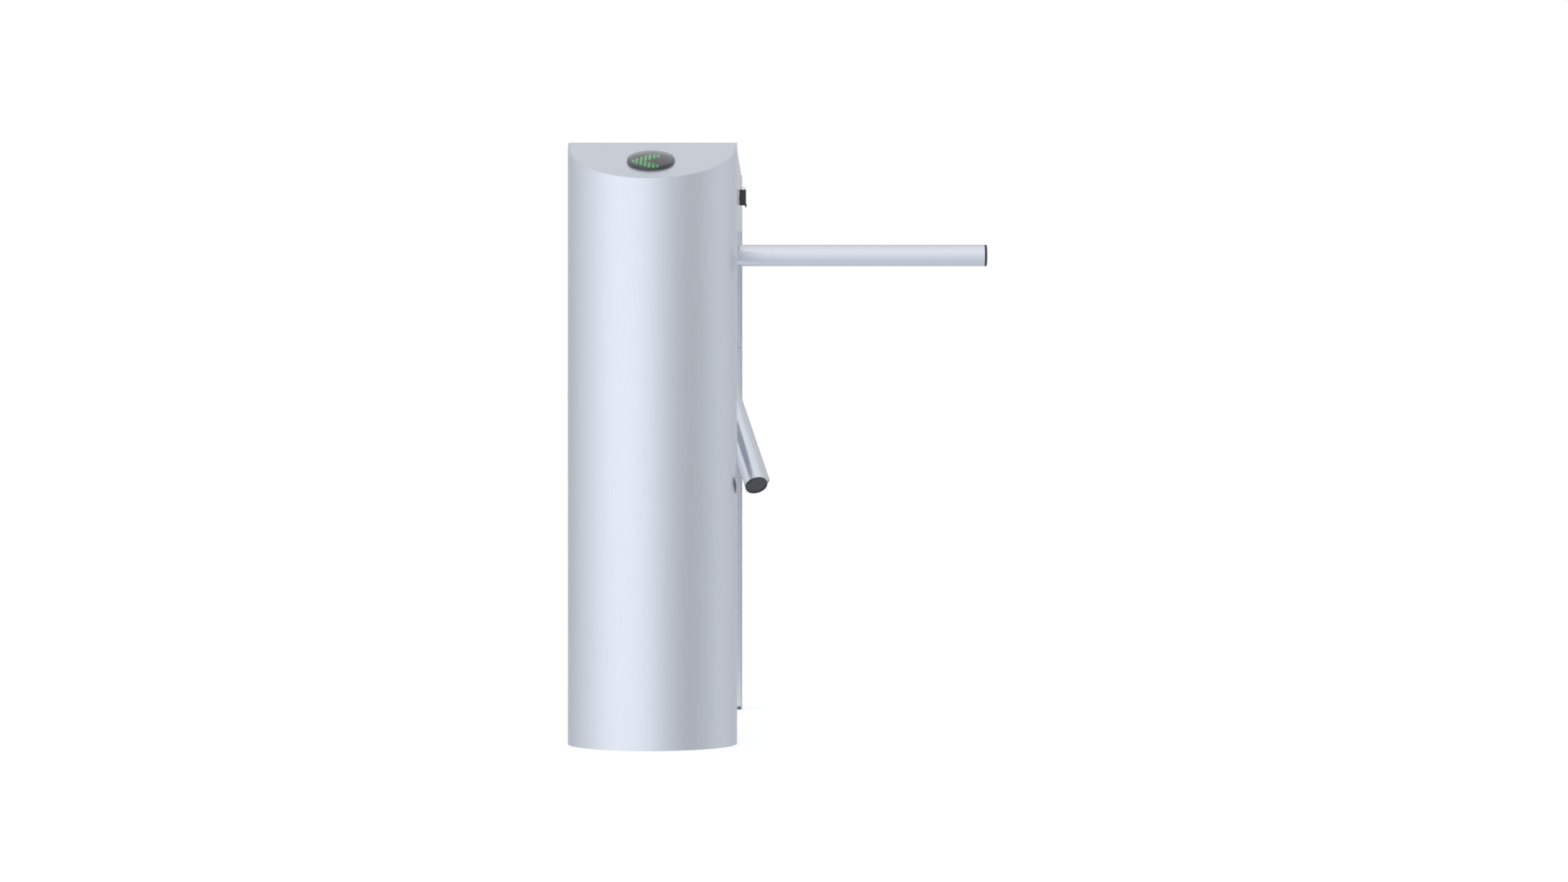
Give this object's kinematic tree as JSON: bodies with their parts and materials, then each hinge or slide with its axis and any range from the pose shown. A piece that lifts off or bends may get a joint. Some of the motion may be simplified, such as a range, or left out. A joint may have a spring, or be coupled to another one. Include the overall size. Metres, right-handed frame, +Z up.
{
  "type": "tripod turnstile",
  "caption": "Bridge-type tripod turnstile of satin steel: round-ended pedestals with light domes carry a bridge with a hinged lid, a lock and a tilted rotor with drop arms of tube.",
  "frame": {"origin": "on the floor, midway between the pedestals, on the cabinet's centre plane; the middle of the anchor pattern", "axes": "+X into the passage that the arm bars, +Y from the front pedestal to the rear one, +Z up"},
  "size_m": [0.7218, 1.012, 0.997],
  "materials": {
    "satin_steel": "satin brushed stainless sheet, grain upright on the walls",
    "arm_steel": "fine satin stainless tube, grain round the tube",
    "hub_steel": "turned stainless, fine concentric grain",
    "frame_steel": "grey powder coat, light texture",
    "zinc": "zinc plated, slightly cloudy",
    "screw_steel": "stainless button heads, polished",
    "hinge_steel": "stainless, satin",
    "lock_metal": "nickel plated, small scratches",
    "wire_steel": "bright spring wire",
    "cast_aluminium": "fine cast surface, machined faces",
    "bearing_steel": "ground bearing steel",
    "ground_steel": "ground steel, light oil film",
    "gear_steel": "dark hobbed steel, oiled",
    "brass": "cut brass, slightly tarnished",
    "coil_paint": "dark blue enamel",
    "motor_paint": "black enamel, semi-gloss",
    "black_plastic": "moulded black plastic",
    "cap_plastic": "moulded dark grey plastic, fine texture",
    "encoder_black": "thin black disc",
    "lamp_plastic": "black moulded cup",
    "lamp_board": "black solder mask",
    "smoked_lens": "smoked clear plastic, polished",
    "arrow_green": "green light bars",
    "board_green": "green solder mask",
    "case_aluminium": "vented sheet case",
    "rubber": "black rubber"
  },
  "bodies": {
    "cabinet": {"front_shell": "satin_steel", "rear_shell": "satin_steel", "service_panels": "satin_steel", "end_walls": "satin_steel", "front_top_plate": "satin_steel", "rear_top_plate": "satin_steel", "base_plates": "frame_steel", "pedestal_frames": "frame_steel", "cable_grommets": "rubber", "bridge_shell": "satin_steel", "bridge_ends": "frame_steel", "bridge_bolts": "zinc", "cover_screws": "screw_steel", "body_hinge_leaves": "hinge_steel", "hinge_pins": "hinge_steel", "lock_barrel": "lock_metal", "mechanism_plate": "zinc", "housing_screws": "zinc", "bearing_housing": "cast_aluminium", "bearing_outer_rings": "bearing_steel", "shaft_seal": "rubber", "gear_plate": "zinc", "pillars": "ground_steel", "pillar_nuts": "zinc", "encoder_sensor": "black_plastic", "brake_coil": "coil_paint", "brake_bracket": "zinc", "drive_motor": "motor_paint", "damper": "cast_aluminium", "indicator_lenses": "smoked_lens", "lamp_housings": "lamp_plastic", "lamp_boards": "lamp_board", "arrow_bars": "arrow_green", "equipment_trays": "zinc", "control_board": "board_green", "power_supply": "case_aluminium"},
    "rotor": {"hub": "hub_steel", "hub_bolt": "zinc", "hub_nose_cap": "hub_steel", "arm_top": "arm_steel", "arm_front": "arm_steel", "arm_rear": "arm_steel", "arm_fastening": "zinc", "arm_caps": "cap_plastic", "main_shaft": "ground_steel", "shaft_hardware": "ground_steel", "bearing_inner_rings": "bearing_steel", "bearing_balls": "bearing_steel", "main_gear": "gear_steel", "encoder_disc": "encoder_black", "brake_armature": "gear_steel"},
    "motor_drive": {"motor_pinion": "brass"},
    "damper_drive": {"damper_pinion": "brass"},
    "lid": {"lid": "satin_steel", "lid_catch": "zinc", "lid_hinge_leaves": "hinge_steel"},
    "lock": {"lock_plug": "lock_metal", "lock_cam": "zinc", "key": "black_plastic", "key_ring": "wire_steel"}
  },
  "joints": [
    {"name": "rotor_turn", "type": "hinge", "parent": "cabinet", "child": "rotor", "pos_m": [0.03802, 0, 0.8285], "axis": [0.7071, 0, -0.7071], "continuous": true},
    {"name": "motor_turn", "type": "hinge", "parent": "cabinet", "child": "motor_drive", "pos_m": [0.03802, 0.08, 0.8285], "axis": [0.7071, 0, -0.7071], "continuous": true},
    {"name": "damper_turn", "type": "hinge", "parent": "cabinet", "child": "damper_drive", "pos_m": [0.03802, -0.08, 0.8285], "axis": [0.7071, 0, -0.7071], "continuous": true},
    {"name": "lid_hinge", "type": "hinge", "parent": "cabinet", "child": "lid", "pos_m": [-0.1433, 0, 0.964], "axis": [0, -1, 0], "range_deg": [0, 95]},
    {"name": "lock_turn", "type": "hinge", "parent": "cabinet", "child": "lock", "pos_m": [0.14, -0.2, 0.9165], "axis": [-1, 0, 0], "range_deg": [0, 90]}
  ],
  "couplings": [
    {"joint": "motor_turn", "follows": "rotor_turn", "ratio": -3},
    {"joint": "damper_turn", "follows": "rotor_turn", "ratio": -3}
  ]
}
